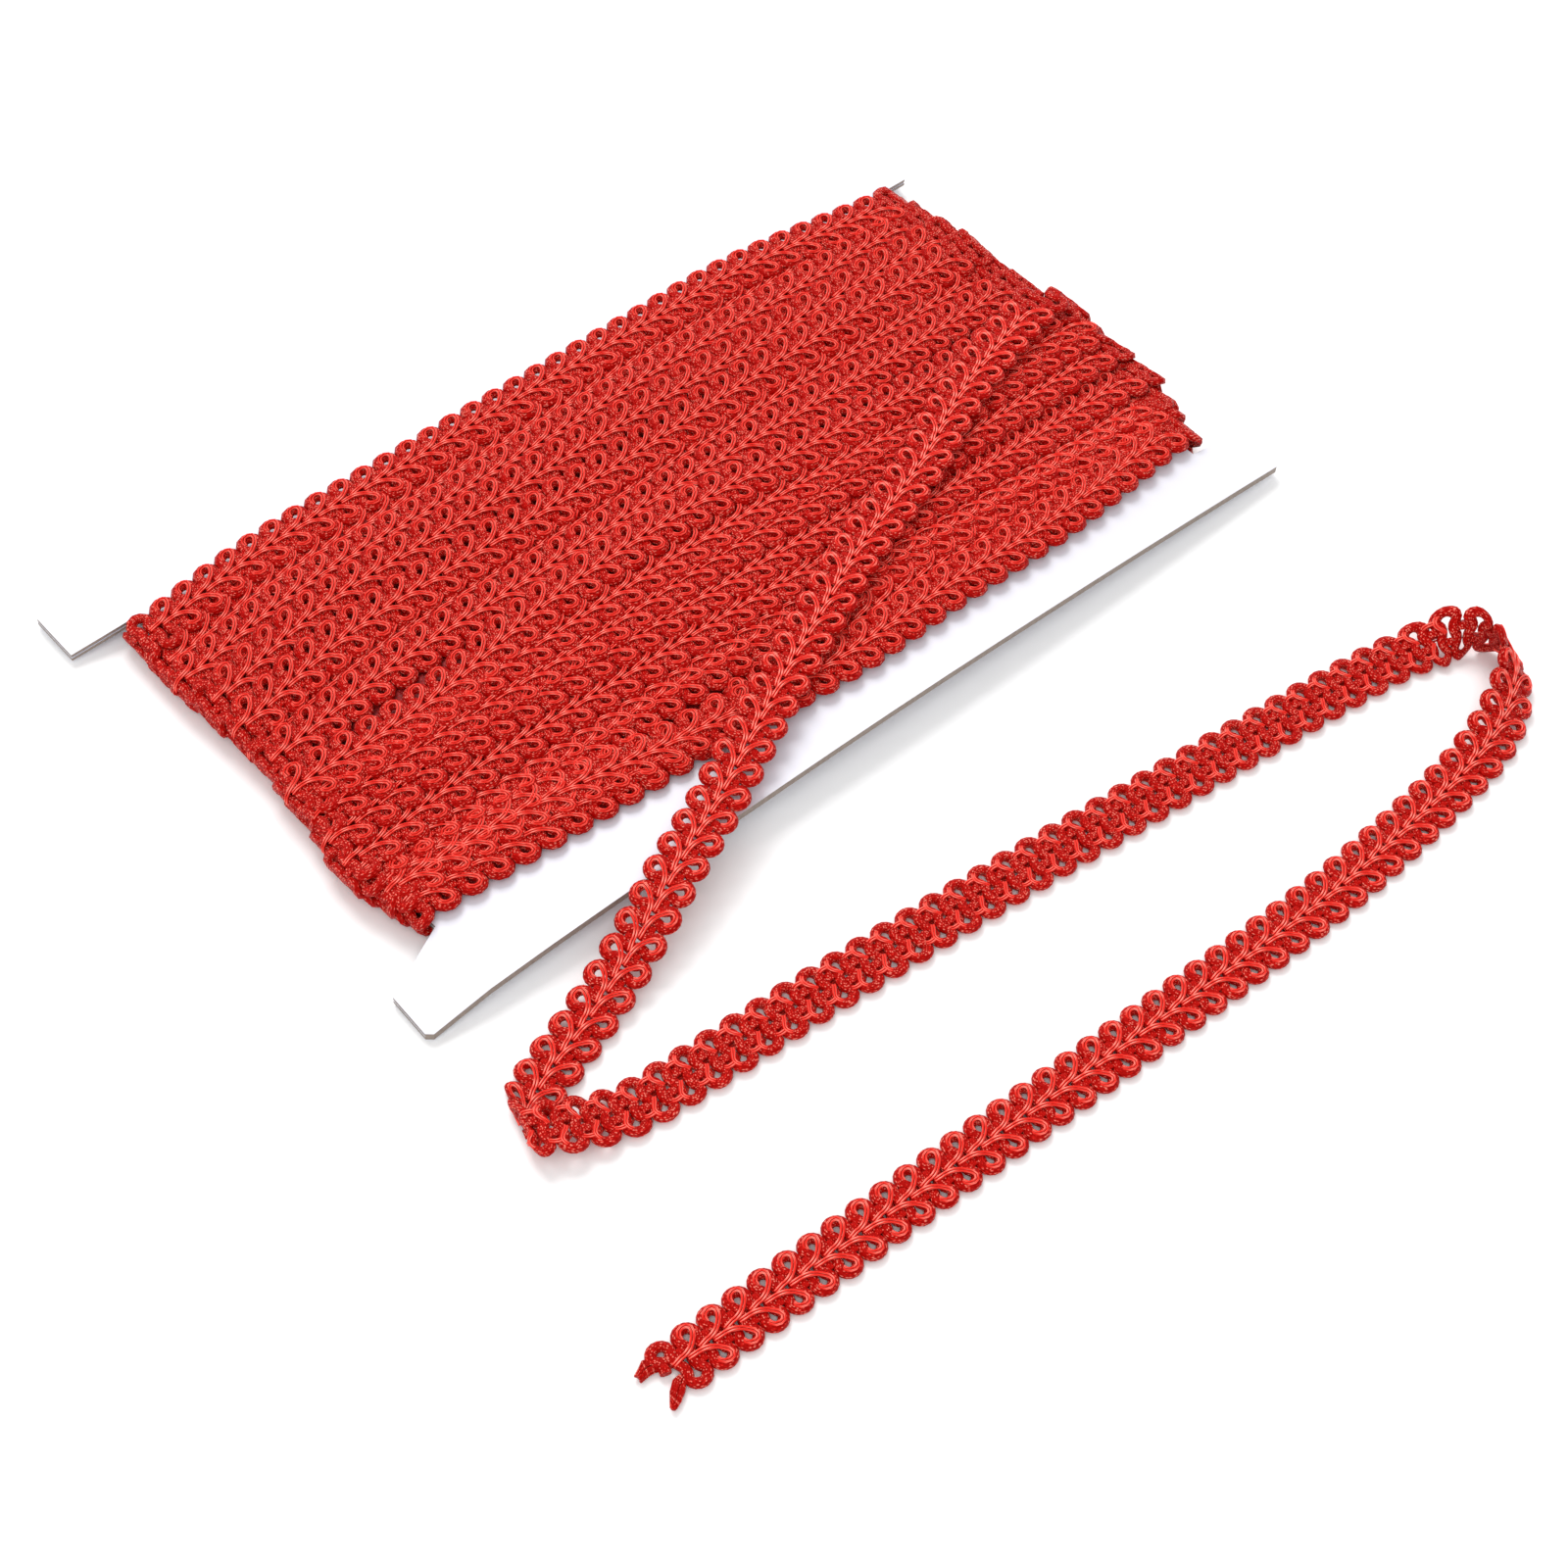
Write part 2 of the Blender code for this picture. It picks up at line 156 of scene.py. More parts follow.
# %% Table of the rows
ROW_STATIONS = (-104.0, -74.0, -38.0, -2.0, 32.0, 64.0, 104.0)
ROWS = (
    # name, y at the seven stations, height, slope
    ("back", (45.2, 49.4, 50.6, 51.7, 52.6, 53.1, 48.8), 0.9, 0.00),
    ("second", (30.7, 35.5, 36.4, 37.6, 39.4, 40.0, 41.0), 0.8, 0.00),
    ("third", (21.6, 28.2, 29.2, 30.1, 31.1, 31.7, 32.6), 1.3, 0.16),
    ("fourth", (12.6, 18.6, 19.8, 20.9, 22.9, 24.5, 25.5), 1.5, 0.16),
    ("fifth", (1.9, 5.9, 7.1, 8.1, 8.6, 8.9, 10.0), 0.9, 0.00),
    ("crossing", (-7.5, -7.3, -1.3, 0.5, -1.0, -2.9, -2.5), 2.1, 0.00),
    ("seventh", (-10.5, -9.0, -8.7, -8.1, -8.7, -9.5, -8.5), 1.3, -0.18),
    ("eighth", (-15.5, -14.8, -14.9, -13.8, -14.0, -13.2, -12.2), 1.3, -0.18),
    ("ninth", (-21.6, -19.2, -19.9, -20.9, -21.6, -20.6, -19.0), 1.3, -0.18),
    ("tenth", (-28.4, -26.4, -27.1, -27.9, -29.6, -30.1, -29.0), 1.3, -0.18),
    ("eleventh", (-31.5, -32.0, -32.5, -33.2, -35.0, -36.0, -36.0), 0.9, -0.18),
    ("twelfth", (-36.5, -36.5, -35.9, -37.2, -38.6, -39.4, -39.3), 1.0, -0.10),
    ("slanting", (-38.8, -40.8, -47.1, -51.5, -50.8, -50.5, -46.6), 1.3, 0.00),
    ("front", (-43.0, -45.4, -47.6, -46.0, -45.0, -45.0, -44.0), 0.7, 0.00),
)
UNDER_SECOND = ("under the second", (37.0, 41.8, 42.7, 43.9, 45.7, 46.3, 46.0), -0.4, 0.05)
UNDER_FOURTH = ("under the fourth", (7.5, 12.5, 13.8, 14.8, 16.0, 17.0, 17.6), -0.3, 0.05)
WINDING_ENDS = (
    # y, left, right
    (-53.0, -106.2, 109.4),
    (-42.0, -108.2, 111.3),
    (-35.0, -110.4, 114.8),
    (-27.0, -112.4, 118.0),
    (-18.0, -109.2, 117.6),
    (-13.0, -109.7, 116.4),
    (-4.0, -108.9, 119.3),
    (3.5, -107.9, 117.4),
    (14.0, -108.5, 115.4),
    (19.0, -109.0, 116.7),
    (34.0, -110.1, 115.0),
    (44.0, -110.2, 114.0),
    (56.0, -106.5, 110.2),
)
UNDERSIDE_SLOPE = 0.16
UNDERSIDE_HEIGHT = 2.45
TOP_STEP = 3.0
END_STEPS = 8
TURNS = ROWS[:1] + (UNDER_SECOND,) + ROWS[1:4] + (UNDER_FOURTH,) + ROWS[4:]
print(len(TURNS), "turns of braid show on top")

# %% [markdown]
# ## One turn of the winding
# A turn goes over the top, down round the right end, back under the card and
# up round the left end into the next turn, as it is wound by hand. A guide is
# a list of places with two directions: across the braid and out of its face.


# %% The guide of one turn
def guide_step(places, across_hints):
    """Give each place its direction across the braid and out of its face."""
    guide = []
    for index, place in enumerate(places):
        before = places[max(index - 1, 0)]
        after = places[min(index + 1, len(places) - 1)]
        along = (after - before).normalized()
        across = across_hints[index].normalized()
        face = along.cross(across).normalized()
        guide.append((place, across, face))
    return guide


def turn_guide(number):
    """The line of one turn: over the top, round the right end and back below."""
    row = TURNS[number]
    following = TURNS[min(number + 1, len(TURNS) - 1)]
    y_left = row[1][0]
    y_right = row[1][-1]
    left = on_lines(WINDING_ENDS, y_left, 1) + 0.95
    right = on_lines(WINDING_ENDS, y_right, 2) - 0.95
    lift = row[2] - 0.15
    low = UNDERSIDE_HEIGHT
    top_left = base_height(-104.0, y_left) + lift
    top_right = base_height(104.0, y_right) + lift
    left_radius = (top_left - low) / 2
    right_radius = (top_right - low) / 2
    places = []
    slopes = []
    for step in range(END_STEPS):
        angle = math.pi * (0.5 + (1 - step / END_STEPS))
        x = left + left_radius * (1 + math.cos(angle))
        places.append(Vector((x, y_left, low + left_radius * (1 + math.sin(angle)))))
        slopes.append(row[3] * step / END_STEPS)
    start = left + left_radius
    stop = right - right_radius
    count = round((stop - start) / TOP_STEP)
    for step in range(count + 1):
        x = start + (stop - start) * step / count
        y = smooth_value(ROW_STATIONS, row[1], x)
        places.append(Vector((x, y, base_height(x, y) + lift)))
        slopes.append(row[3])
    places[END_STEPS].z = top_left
    for step in range(1, END_STEPS + 1):
        angle = math.pi * (0.5 - step / END_STEPS)
        x = stop + right_radius * math.cos(angle)
        places.append(Vector((x, y_right, low + right_radius * (1 + math.sin(angle)))))
        slopes.append(row[3] * (1 - step / END_STEPS))
    y_end = following[1][0] if number + 1 < len(TURNS) else y_left
    for step in range(1, count):
        share = step / count
        y = y_right + share * (y_end - y_right)
        places.append(Vector((stop + share * (start - stop), y, low)))
        slopes.append(UNDERSIDE_SLOPE * min(1.0, 8 * share, 8 * (1 - share)))
    hints = [Vector((0.0, 1.0, slope)) for slope in slopes]
    return guide_step(places, hints)


guides = [turn_guide(number) for number in range(len(TURNS))]
wound = sum((b[0] - a[0]).length for g in guides for a, b in zip(g, g[1:]))
print("braid in the outer turns:", round(wound / 1000, 2), "m")

# %% [markdown]
# ## The loose end
# The loose end crosses the winding, comes down to the table, folds over onto
# its back, runs to the right, turns over on its edge and comes back with its
# face up. Its route gives each place, what carries it there, the direction of
# its width, and how far that width is dropped to turn the braid on edge.

# %% Route of the loose end
LOOSE_END_ROUTE = (
    # x, y, lift, azimuth, drop
    (112.5, 0.6, 8.9, -78.0, 0.0),
    (104.0, -1.3, 9.3, -77.0, 0.0),
    (95.0, -3.9, 9.7, -73.0, 0.0),
    (78.3, -9.3, 10.2, -70.0, 0.0),
    (65.6, -14.6, 10.5, -65.0, 0.0),
    (52.9, -21.0, 10.9, -64.0, 0.0),
    (36.1, -27.6, 11.4, -68.0, 0.0),
    (19.4, -33.8, 11.8, -67.0, 0.0),
    (4.1, -40.9, 11.9, -64.0, 0.0),
    (-13.1, -48.7, 11.6, -65.0, 0.0),
    (-30.2, -57.0, 11.2, -65.0, 0.0),
    (-46.0, -64.4, 9.4, -66.0, 0.0),
    (-61.3, -70.8, 8.3, -67.0, 0.0),
    (-72.0, -75.4, 5.9, -67.5, 0.0),
    (-83.3, -79.7, 2.5, -69.0, 0.0),
    (-96.0, -84.0, 0.3, -68.0, 0.0),
    (-106.4, -87.4, 0.0, -66.0, 0.0),
    (-112.0, -89.8, 0.0, -71.0, 0.0),
    (-116.2, -92.2, 0.2, -90.0, 0.0),
    (-118.6, -95.3, 1.7, -107.0, 0.0),
    (-117.0, -97.9, 3.4, -114.0, 0.0),
    (-112.6, -100.1, 2.7, -111.0, 0.0),
    (-107.0, -102.1, 1.2, -105.0, 0.0),
    (-99.0, -103.9, 0.0, -98.0, 0.0),
    (-80.0, -105.2, 0.0, -94.0, 0.0),
    (-58.1, -106.5, 0.0, -94.0, 0.0),
    (-10.1, -110.3, 0.0, -94.5, 0.0),
    (37.9, -114.8, 0.0, -95.5, 0.0),
    (70.0, -118.0, 0.0, -96.5, 0.0),
    (88.0, -120.0, 0.0, -97.5, 0.0),
    (99.0, -121.6, 0.0, -98.5, 0.0),
    (105.6, -123.6, 0.0, -104.0, 9.0),
    (110.8, -126.5, 0.0, -120.0, 42.0),
    (114.5, -130.3, 0.0, -144.0, 86.0),
    (116.1, -134.9, 0.0, -173.0, 113.0),
    (114.7, -139.4, 0.0, -204.0, 129.0),
    (110.6, -143.2, 0.0, -227.0, 143.0),
    (104.4, -146.7, 0.0, -240.0, 157.0),
    (96.8, -149.3, 0.0, -249.0, 170.0),
    (87.0, -151.2, 0.0, -257.0, 178.0),
    (66.0, -153.3, 0.0, -264.0, 180.0),
    (37.9, -154.6, 0.0, -268.5, 180.0),
    (-10.1, -153.5, 0.0, -271.5, 180.0),
    (-58.1, -151.7, 0.0, -272.5, 180.0),
    (-106.1, -150.2, 0.0, -272.0, 180.0),
    (-130.1, -149.5, 0.0, -271.5, 180.0),
)
ROUTE_STEP = 1.5
HALF_THICKNESS = CORD_RADIUS * CORD_PRESS


VINE_STAND = 0.47
BINDING_STAND = 0.29


def loose_end_guide():
    """The loose end from its cut end to the winding, at even steps."""
    stops = [0.0]
    for one, other in zip(LOOSE_END_ROUTE, LOOSE_END_ROUTE[1:]):
        stops.append(stops[-1] + (Vector(other[:3]) - Vector(one[:3])).length)
    columns = list(zip(*LOOSE_END_ROUTE))
    count = round(stops[-1] / ROUTE_STEP)
    places = []
    hints = []
    for step in range(count, -1, -1):
        at = stops[-1] * step / count
        x, y, lift, azimuth, drop = (smooth_value(stops, column, at) for column in columns)
        azimuth = math.radians(azimuth)
        drop = math.radians(min(max(drop, 0.0), 180.0))
        stand = BRAID_WIDTH / 2 * math.sin(drop) + HALF_THICKNESS * abs(math.cos(drop))
        stand += VINE_STAND * max(math.cos(drop), 0.0)
        stand += BINDING_STAND * max(-math.cos(drop), 0.0)
        places.append(Vector((x, y, max(lift, 0.0) + stand)))
        level = -math.cos(drop)
        hints.append(
            Vector((level * math.cos(azimuth), level * math.sin(azimuth), math.sin(drop)))
        )
    return guide_step(places, hints)


loose_guide = loose_end_guide()

# %% [markdown]
# ## Building node trees
# Both the materials and the Geometry Nodes trees are made of nodes, so one
# small function adds a node, gives it its settings and feeds its inputs in
# order. A socket is linked, a plain value is set, and None is passed over.


# %% One function for every node
def add_node(tree, kind, *feeds, **settings):
    """Add a node of a kind, with its settings, and feed its inputs in order."""
    node = tree.nodes.new(kind)
    for name, value in settings.items():
        setattr(node, name, value)
    for socket, feed in zip(node.inputs, feeds):
        if isinstance(feed, bpy.types.NodeSocket):
            tree.links.new(feed, socket)
        elif feed is not None:
            socket.default_value = feed
    return node


def new_tree(name, inputs):
    """Start a Geometry Nodes tree with named inputs and one geometry output."""
    tree = bpy.data.node_groups.new(name, "GeometryNodeTree")
    for label, kind in inputs:
        tree.interface.new_socket(label, in_out="INPUT", socket_type="NodeSocket" + kind)
    tree.interface.new_socket("Geometry", in_out="OUTPUT", socket_type="NodeSocketGeometry")
    given = tree.nodes.new("NodeGroupInput").outputs
    return tree, given


# %% [markdown]
# ## Bending flat work along a guide
# It is easy to draw one repeat of braid lying flat: X along it, Y across it and
# Z out of its face. This group then carries every point to the guide: X becomes
# a distance along it, Y goes along the guide's width and Z along its face. A
# Curve modifier could bend it too, but it can't hold a given width direction
# through the folds of the loose end.


# %% The bend group
def make_bend():
    """The group that carries flat work to a guide."""
    tree, given = new_tree(
        "bend along a guide", [("Geometry", "Geometry"), ("Guide", "Geometry")]
    )
    curve = add_node(tree, "GeometryNodeMeshToCurve", given["Guide"]).outputs[0]
    length = add_node(tree, "GeometryNodeCurveLength", curve).outputs[0]
    place = add_node(tree, "GeometryNodeInputPosition").outputs[0]
    flat = add_node(tree, "ShaderNodeSeparateXYZ", place).outputs
    at = add_node(tree, "ShaderNodeClamp", flat["X"], 0.0, length).outputs[0]
    beyond = add_node(
        tree, "ShaderNodeMath", flat["X"], at, operation="SUBTRACT"
    ).outputs[0]
    sampled = {}
    for name in ("across", "face"):
        stored = add_node(
            tree, "GeometryNodeInputNamedAttribute", name, data_type="FLOAT_VECTOR"
        ).outputs[0]
        sample = add_node(
            tree, "GeometryNodeSampleCurve", curve, stored, None, at,
            data_type="FLOAT_VECTOR", mode="LENGTH",
        )
        sampled[name] = sample.outputs
    total = sampled["across"]["Position"]
    for direction, amount in (
        (sampled["across"]["Value"], flat["Y"]),
        (sampled["face"]["Value"], flat["Z"]),
        (sampled["across"]["Tangent"], beyond),
    ):
        part = add_node(
            tree, "ShaderNodeVectorMath", direction, None, None, amount, operation="SCALE"
        ).outputs[0]
        total = add_node(
            tree, "ShaderNodeVectorMath", total, part, operation="ADD"
        ).outputs[0]
    bent = add_node(tree, "GeometryNodeSetPosition", given["Geometry"], None, total)
    tree.links.new(bent.outputs[0], tree.nodes.new("NodeGroupOutput").inputs[0])
    return tree


bend_tree = make_bend()
print("bend group:", len(bend_tree.nodes), "nodes")

# %% [markdown]
# ## Drawn repeats
# One repeat of each cord is drawn flat as a short table of places, the way a
# trimmings draughtsman would. A sine wave could also make the scallops, but
# the real loops are rounder than any simple wave: wider than their necks, with
# the necks pressed together so that only a small hole is left in each scallop.
# In the real braid the pressed cords also close the spaces between the necks.
# A round cord can't flatten like that, so a short length of cord stands in
# there. It is the one part of the repeat that a real gimp doesn't have.

# %% The ground cord's repeat and the vine's leaf
HALF_REPEAT = (
    # along, across: from the middle, round one scallop and back to the middle
    (0.00, 0.00),
    (0.24, 0.80),
    (0.30, 1.55),
    (0.08, 2.35),
    (-0.44, 3.25),
    (-0.19, 4.20),
    (0.51, 4.90),
    (1.4625, 5.16),
    (2.415, 4.90),
    (3.115, 4.20),
    (3.365, 3.25),
    (2.845, 2.35),
    (2.625, 1.55),
    (2.685, 0.80),
    (2.925, 0.00),
)
LEAF = (
    # along, across, height over the braid's middle plane
    (0.00, 0.20, 0.55),
    (1.50, 0.42, 0.90),
    (3.00, 0.58, 1.00),
    (4.50, 1.15, 1.04),
    (5.70, 2.10, 1.05),
    (6.50, 3.10, 1.04),
    (6.85, 4.00, 1.00),
    (6.50, 4.82, 0.94),
    (5.55, 5.08, 0.90),
    (4.65, 4.75, 0.88),
    (4.15, 4.00, 0.78),
    (4.25, 3.30, 0.40),
)
LEAF_START = 1.91
WOUND_LEAF_LIFT = 0.2
FINE_STEPS = 19
WOUND_STEPS = 13
FINE_LEAF_STEPS = 16
WOUND_LEAF_STEPS = 14
NECK_FILL = ((4.28, 0.70, -0.05), (4.39, 2.40, -0.18))


def drawn_line(table, steps, beside=0.0):
    """A smooth line through a table, at even steps, moved sideways by an amount."""
    stops = [0.0]
    for one, other in zip(table, table[1:]):
        stops.append(stops[-1] + math.dist(one[:2], other[:2]))
    columns = list(zip(*table))
    places = []
    for step in range(steps):
        at = stops[-1] * step / (steps - 1)
        here, ahead, behind = (
            Vector([smooth_value(stops, column, at + shift) for column in columns]).to_3d()
            for shift in (0.0, 0.05, -0.05)
        )
        along = (ahead - behind).normalized()
        places.append(here + Vector((-along.y, along.x, 0.0)) * beside)
    return places


def line_object(name, lines):
    """A mesh of open lines, given in millimetres."""
    verts = [tuple(p * MM) for line in lines for p in line]
    edges = []
    start = 0
    for line in lines:
        edges += [(start + i, start + i + 1) for i in range(len(line) - 1)]
        start += len(line)
    mesh = bpy.data.meshes.new(name)
    mesh.from_pydata(verts, edges, [])
    thing = bpy.data.objects.new(name, mesh)
    bpy.context.scene.collection.objects.link(thing)
    return thing


def repeat_object(name, steps):
    """The ground cord's whole repeat: one scallop on each side."""
    half = drawn_line(HALF_REPEAT, steps)
    fill = drawn_line(NECK_FILL, 2)
    lines = [half, fill]
    for line in (half, fill):
        lines.append([Vector((p.x + SCALLOP_PITCH / 2, -p.y, p.z)) for p in line])
    return line_object(name, lines)


repeat_fine = repeat_object("repeat", FINE_STEPS)
repeat_wound = repeat_object("repeat for wound turns", WOUND_STEPS)
leaf_fine = line_object(
    "leaf", [drawn_line(LEAF, FINE_LEAF_STEPS, side * VINE_GAP) for side in (1, -1)]
)
raised_leaf = [(along, across, height + WOUND_LEAF_LIFT) for along, across, height in LEAF]
leaf_wound = line_object(
    "leaf for wound turns",
    [drawn_line(raised_leaf, WOUND_LEAF_STEPS, side * VINE_GAP) for side in (1, -1)],
)
print("repeat:", len(repeat_fine.data.vertices), "points")
print("leaf:", len(leaf_fine.data.vertices), "points")

# %% [markdown]
# ## The back of the braid
# The back shows the binding thread: a short smooth stitch across every notch,
# and a thin twin arc round every scallop's hole. They could be painted on, but
# they lie over the cord and catch the light, so they are cord too.

# %% The binding's repeat
NOTCH_STITCH = (
    (3.30, 3.30, -0.76),
    (3.85, 3.52, -0.86),
    (4.95, 3.52, -0.86),
    (5.50, 3.30, -0.76),
)
HOLE_ARC = (
    (2.70, 4.55, -0.72),
    (3.25, 3.80, -0.82),
    (3.30, 2.90, -0.86),
    (2.85, 2.00, -0.86),
    (2.20, 1.20, -0.80),
    (1.90, 0.50, -0.70),
)
STITCH_GAP = 0.26
ARC_GAP = 0.22
binding = line_object(
    "binding",
    [drawn_line(NOTCH_STITCH, 6, side * STITCH_GAP) for side in (1, -1)]
    + [drawn_line(HOLE_ARC, 9, side * ARC_GAP) for side in (1, -1)],
)
print("binding:", len(binding.data.vertices), "points")

# %% [markdown]
# ## Setting the repeat on every scallop
# The tree counts how many repeats fit the guide, sets the drawn lines on that
# many points, stretched a little so that they fit exactly, and mirrors them
# half a repeat later where that is wanted. It turns the lines to round cord
# while they still lie flat, presses the cord a little, and bends it all along
# the guide at the end, so the cord keeps its section through every loop.


# %% The tree
def make_braiding_tree():
    """The tree that sets a drawn repeat on every scallop and bends it."""
    tree, given = new_tree(
        "set a drawn repeat on every scallop",
        [
            ("Guide", "Geometry"),
            ("Drawn repeat", "Object"),
            ("Drawn pitch", "Float"),
            ("Pitch", "Float"),
            ("Start", "Float"),
            ("Spare at the end", "Float"),
            ("Mirror half a repeat later", "Bool"),
            ("Cord radius", "Float"),
            ("Pressed to", "Float"),
            ("Sides", "Int"),
            ("Material", "Material"),
        ],
    )
    curve = add_node(tree, "GeometryNodeMeshToCurve", given["Guide"]).outputs[0]
    length = add_node(tree, "GeometryNodeCurveLength", curve).outputs[0]
    usable = add_node(
        tree, "ShaderNodeMath", length, given["Spare at the end"], operation="SUBTRACT"
    ).outputs[0]
    repeats = add_node(
        tree, "ShaderNodeMath", usable, given["Pitch"], operation="DIVIDE"
    ).outputs[0]
    repeats = add_node(tree, "ShaderNodeMath", repeats, 0.01, operation="ADD").outputs[0]
    count = add_node(
        tree, "FunctionNodeFloatToInt", repeats, rounding_mode="FLOOR"
    ).outputs[0]
    step = add_node(tree, "ShaderNodeCombineXYZ", given["Pitch"]).outputs[0]
    stretch = add_node(
        tree, "ShaderNodeMath", given["Pitch"], given["Drawn pitch"], operation="DIVIDE"
    ).outputs[0]
    half = add_node(
        tree, "ShaderNodeMath", given["Pitch"], 0.5, given["Start"],
        operation="MULTIPLY_ADD",
    ).outputs[0]
    drawn = add_node(
        tree, "GeometryNodeObjectInfo", given["Drawn repeat"]
    ).outputs["Geometry"]
    joined = tree.nodes.new("GeometryNodeJoinGeometry")
    for start, side in ((given["Start"], 1.0), (half, -1.0)):
        first = add_node(tree, "ShaderNodeCombineXYZ", start).outputs[0]
        points = add_node(tree, "GeometryNodeMeshLine", count, None, first, step).outputs[0]
        scale = add_node(tree, "ShaderNodeCombineXYZ", stretch, side, 1.0).outputs[0]
        lines = add_node(
            tree, "GeometryNodeInstanceOnPoints", points, None, drawn, None, None, None,
            scale,
        ).outputs[0]
        if side < 0:
            lines = add_node(
                tree, "GeometryNodeSwitch", given["Mirror half a repeat later"], None,
                lines, input_type="GEOMETRY",
            ).outputs[0]
        tree.links.new(lines, joined.inputs[0])
    lines = add_node(tree, "GeometryNodeRealizeInstances", joined.outputs[0]).outputs[0]
    lines = add_node(tree, "GeometryNodeMergeByDistance", lines, None, 0.02 * MM).outputs[0]
    curve = add_node(tree, "GeometryNodeMeshToCurve", lines).outputs[0]
    distance = add_node(tree, "GeometryNodeSplineParameter").outputs["Length"]
    curve = add_node(
        tree, "GeometryNodeStoreNamedAttribute", curve, None, "run", distance,
        data_type="FLOAT",
    ).outputs[0]
    circle = add_node(
        tree, "GeometryNodeCurvePrimitiveCircle", given["Sides"], None, None, None,
        given["Cord radius"],
    ).outputs[0]
    rim = add_node(tree, "GeometryNodeInputPosition").outputs[0]
    circle = add_node(
        tree, "GeometryNodeStoreNamedAttribute", circle, None, "ring", rim,
        data_type="FLOAT_VECTOR",
    ).outputs[0]
    mesh = add_node(tree, "GeometryNodeCurveToMesh", curve, circle, None, True).outputs[0]
    press = add_node(tree, "ShaderNodeCombineXYZ", 1.0, 1.0, given["Pressed to"]).outputs[0]
    pressed = add_node(
        tree, "ShaderNodeVectorMath", rim, press, operation="MULTIPLY"
    ).outputs[0]
    mesh = add_node(tree, "GeometryNodeSetPosition", mesh, None, pressed).outputs[0]
    bent = add_node(tree, "GeometryNodeGroup", node_tree=bend_tree)
    tree.links.new(mesh, bent.inputs[0])
    tree.links.new(given["Guide"], bent.inputs[1])
    mesh = add_node(tree, "GeometryNodeSetShadeSmooth", bent.outputs[0]).outputs[0]
    mesh = add_node(tree, "GeometryNodeRealizeInstances", mesh).outputs[0]
    mesh = add_node(
        tree, "GeometryNodeSetMaterial", mesh, None, given["Material"]
    ).outputs[0]
    tree.links.new(mesh, tree.nodes.new("NodeGroupOutput").inputs[0])
    return tree


braiding_tree = make_braiding_tree()
print("braiding tree:", len(braiding_tree.nodes), "nodes")

# %% [markdown]
# ## Colours
# Colours are written as they look on a screen, in sRGB hex, and Blender works
# with linear light, so one function turns them.


# %% From sRGB hex to linear colour
def linear(hex_colour):
    """Linear RGBA of an sRGB hex colour."""
    channels = [int(hex_colour[i : i + 2], 16) / 255 for i in (1, 3, 5)]
    return tuple(
        c / 12.92 if c <= 0.04045 else ((c + 0.055) / 1.055) ** 2.4 for c in channels
    ) + (1.0,)


print("braid red is", [round(c, 3) for c in linear("#D4150E")])

# %% [markdown]
# ## Crocheted viscose cord
# Gimp cord is a core covered with fine crocheted viscose yarn. Viscose is a
# smooth, lustrous fibre. Each stitch, about half a millimetre long, is bumped and
# gets a painted highlight on its middle, and the gaps between stitches get
# painted shade in a deeper red. Voronoi cells on the cord's own coordinates make
# the stitches: noise would be too cloudy, and a weave texture has the wrong grid
# for crochet.

# %% The cord material
STITCH_LENGTH = 0.62
STITCH_WIDTH = 0.46
STITCH_DEPTH = 0.35
TWIN_FIBRE_LENGTH = 2.6
TWIN_FIBRE_WIDTH = 0.24
TWIN_FIBRE_DEPTH = 0.03


